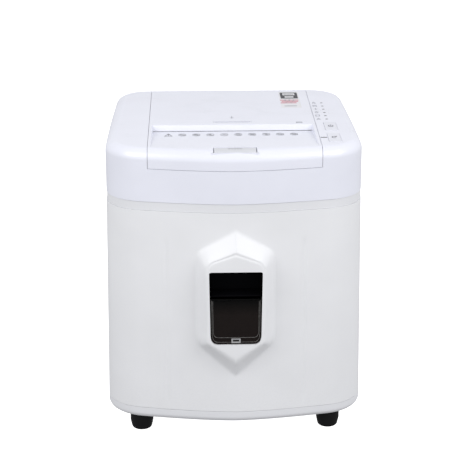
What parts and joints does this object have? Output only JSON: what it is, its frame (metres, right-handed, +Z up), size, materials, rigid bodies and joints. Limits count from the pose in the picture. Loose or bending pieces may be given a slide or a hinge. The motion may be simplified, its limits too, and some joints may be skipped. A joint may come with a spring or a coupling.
{
  "type": "paper shredder",
  "caption": "Auto-feed office paper shredder: hinged lid over a paper tray, manual and card slots, gear-driven cutters, pull-out windowed waste bin.",
  "frame": {"origin": "middle of the overall box at the level the feet stand on", "axes": "+X to the user's right, +Y to the back, +Z up"},
  "size_m": [0.3766, 0.386, 0.4375],
  "materials": {
    "white_plastic": "satin moulded",
    "off_white_plastic": "matte moulded",
    "dark_plastic": "matte moulded",
    "black_plastic": "satin moulded",
    "smoked_window": "clear smoked",
    "clear_plastic": "frosted clear",
    "rubber": "matte",
    "steel": "zinc plated",
    "bronze": "sintered",
    "nylon": "natural",
    "circuit_board": "solder mask"
  },
  "bodies": {
    "cabinet": {"base_tray": "off_white_plastic", "foot_front_left": "rubber", "foot_front_right": "rubber", "foot_back_left": "rubber", "foot_back_right": "rubber", "side_panel_left": "white_plastic", "side_panel_right": "white_plastic", "back_panel": "white_plastic", "top_frame": "off_white_plastic", "head_shell": "white_plastic", "head_deck": "dark_plastic", "paper_tray": "dark_plastic", "hinge_pin_left": "steel", "hinge_pin_right": "steel", "control_board": "circuit_board", "indicator_light_pipe": "clear_plastic", "power_board": "circuit_board", "mains_inlet": "black_plastic", "rocker_switch_body": "black_plastic", "side_plate_left": "steel", "side_plate_right": "steel", "tie_rod": "steel", "chassis_rail_front": "steel", "chassis_rail_rear": "steel", "motor_can": "steel", "feed_throat": "black_plastic", "stripper_front": "black_plastic", "stripper_rear": "black_plastic", "front_bush_left": "bronze", "front_bush_right": "bronze", "rear_bush_left": "bronze", "rear_bush_right": "bronze"},
    "lid": {"lid_cover": "white_plastic", "lid_liner": "off_white_plastic", "card_slot_trim": "dark_plastic", "press_spring_left": "steel", "press_spring_right": "steel"},
    "lid_latch": {"lid_latch_button": "white_plastic"},
    "press": {"press_plate": "off_white_plastic"},
    "bin": {"bin_front_panel": "white_plastic", "bin_bucket": "dark_plastic", "window_pane": "smoked_window", "window_clip": "steel", "grip_pocket": "black_plastic"},
    "rear_cutter_set": {"rear_cutter": "steel", "rear_cutter_gear": "steel", "final_gear": "steel", "takeoff_gear": "nylon"},
    "front_cutter_set": {"front_cutter": "steel", "front_cutter_gear": "steel"},
    "reduction": {"reduction_gear": "nylon"},
    "motor_rotor": {"motor_shaft": "steel"},
    "idler": {"idler_gear": "nylon"},
    "rear_feed_roller": {"feed_roller_rear": "rubber", "feed_gear_rear": "nylon"},
    "front_feed_roller": {"feed_roller_front": "rubber", "feed_gear_front": "nylon"},
    "power_button": {"power_key": "white_plastic"},
    "reverse_button": {"reverse_key": "white_plastic"},
    "mains_switch": {"mains_rocker": "black_plastic"}
  },
  "joints": [
    {"name": "lid_hinge", "type": "hinge", "parent": "cabinet", "child": "lid", "pos_m": [0, 0.171, 0.4305], "axis": [-1, 0, 0], "range_deg": [0, 95]},
    {"name": "lid_latch_press", "type": "slide", "parent": "lid", "child": "lid_latch", "axis": [0, 0, -1], "range_m": [0, 0.003], "stiffness_N_per_m": 600, "springref_m": -0.002},
    {"name": "press_plate_lift", "type": "slide", "parent": "lid", "child": "press", "axis": [0, 0, 1], "range_m": [0, 0.012], "stiffness_N_per_m": 250, "springref_m": -0.012, "deforming": ["press_spring_left", "press_spring_right"]},
    {"name": "bin_slide", "type": "slide", "parent": "cabinet", "child": "bin", "axis": [0, -1, 0], "range_m": [0, 0.34]},
    {"name": "rear_cutter_spin", "type": "hinge", "parent": "cabinet", "child": "rear_cutter_set", "pos_m": [0, -0.0195, 0.345], "axis": [1, 0, 0], "continuous": true},
    {"name": "front_cutter_spin", "type": "hinge", "parent": "cabinet", "child": "front_cutter_set", "pos_m": [0, -0.0555, 0.345], "axis": [1, 0, 0], "continuous": true},
    {"name": "reduction_spin", "type": "hinge", "parent": "cabinet", "child": "reduction", "pos_m": [0, 0.0205, 0.345], "axis": [1, 0, 0], "continuous": true},
    {"name": "motor_spin", "type": "hinge", "parent": "cabinet", "child": "motor_rotor", "pos_m": [0, 0.05313, 0.32979], "axis": [1, 0, 0], "continuous": true},
    {"name": "idler_spin", "type": "hinge", "parent": "cabinet", "child": "idler", "pos_m": [0, -0.00455, 0.36378], "axis": [1, 0, 0], "continuous": true},
    {"name": "rear_feed_spin", "type": "hinge", "parent": "cabinet", "child": "rear_feed_roller", "pos_m": [0, -0.0205, 0.388], "axis": [1, 0, 0], "continuous": true},
    {"name": "front_feed_spin", "type": "hinge", "parent": "cabinet", "child": "front_feed_roller", "pos_m": [0, -0.0545, 0.388], "axis": [1, 0, 0], "continuous": true},
    {"name": "power_key_press", "type": "slide", "parent": "cabinet", "child": "power_button", "axis": [0, 0, -1], "range_m": [0, 0.001], "stiffness_N_per_m": 800, "springref_m": -0.001},
    {"name": "reverse_key_press", "type": "slide", "parent": "cabinet", "child": "reverse_button", "axis": [0, 0, -1], "range_m": [0, 0.001], "stiffness_N_per_m": 800, "springref_m": -0.001},
    {"name": "mains_rocker_tilt", "type": "hinge", "parent": "cabinet", "child": "mains_switch", "pos_m": [-0.044, 0.187, 0.392], "axis": [-1, 0, 0], "range_deg": [0, 12]}
  ],
  "couplings": [
    {"joint": "front_cutter_spin", "follows": "rear_cutter_spin", "ratio": -1},
    {"joint": "reduction_spin", "follows": "rear_cutter_spin", "ratio": -3},
    {"joint": "motor_spin", "follows": "rear_cutter_spin", "ratio": 9},
    {"joint": "idler_spin", "follows": "rear_cutter_spin", "ratio": -1},
    {"joint": "rear_feed_spin", "follows": "rear_cutter_spin", "ratio": 0.70588},
    {"joint": "front_feed_spin", "follows": "rear_cutter_spin", "ratio": -0.70588}
  ]
}
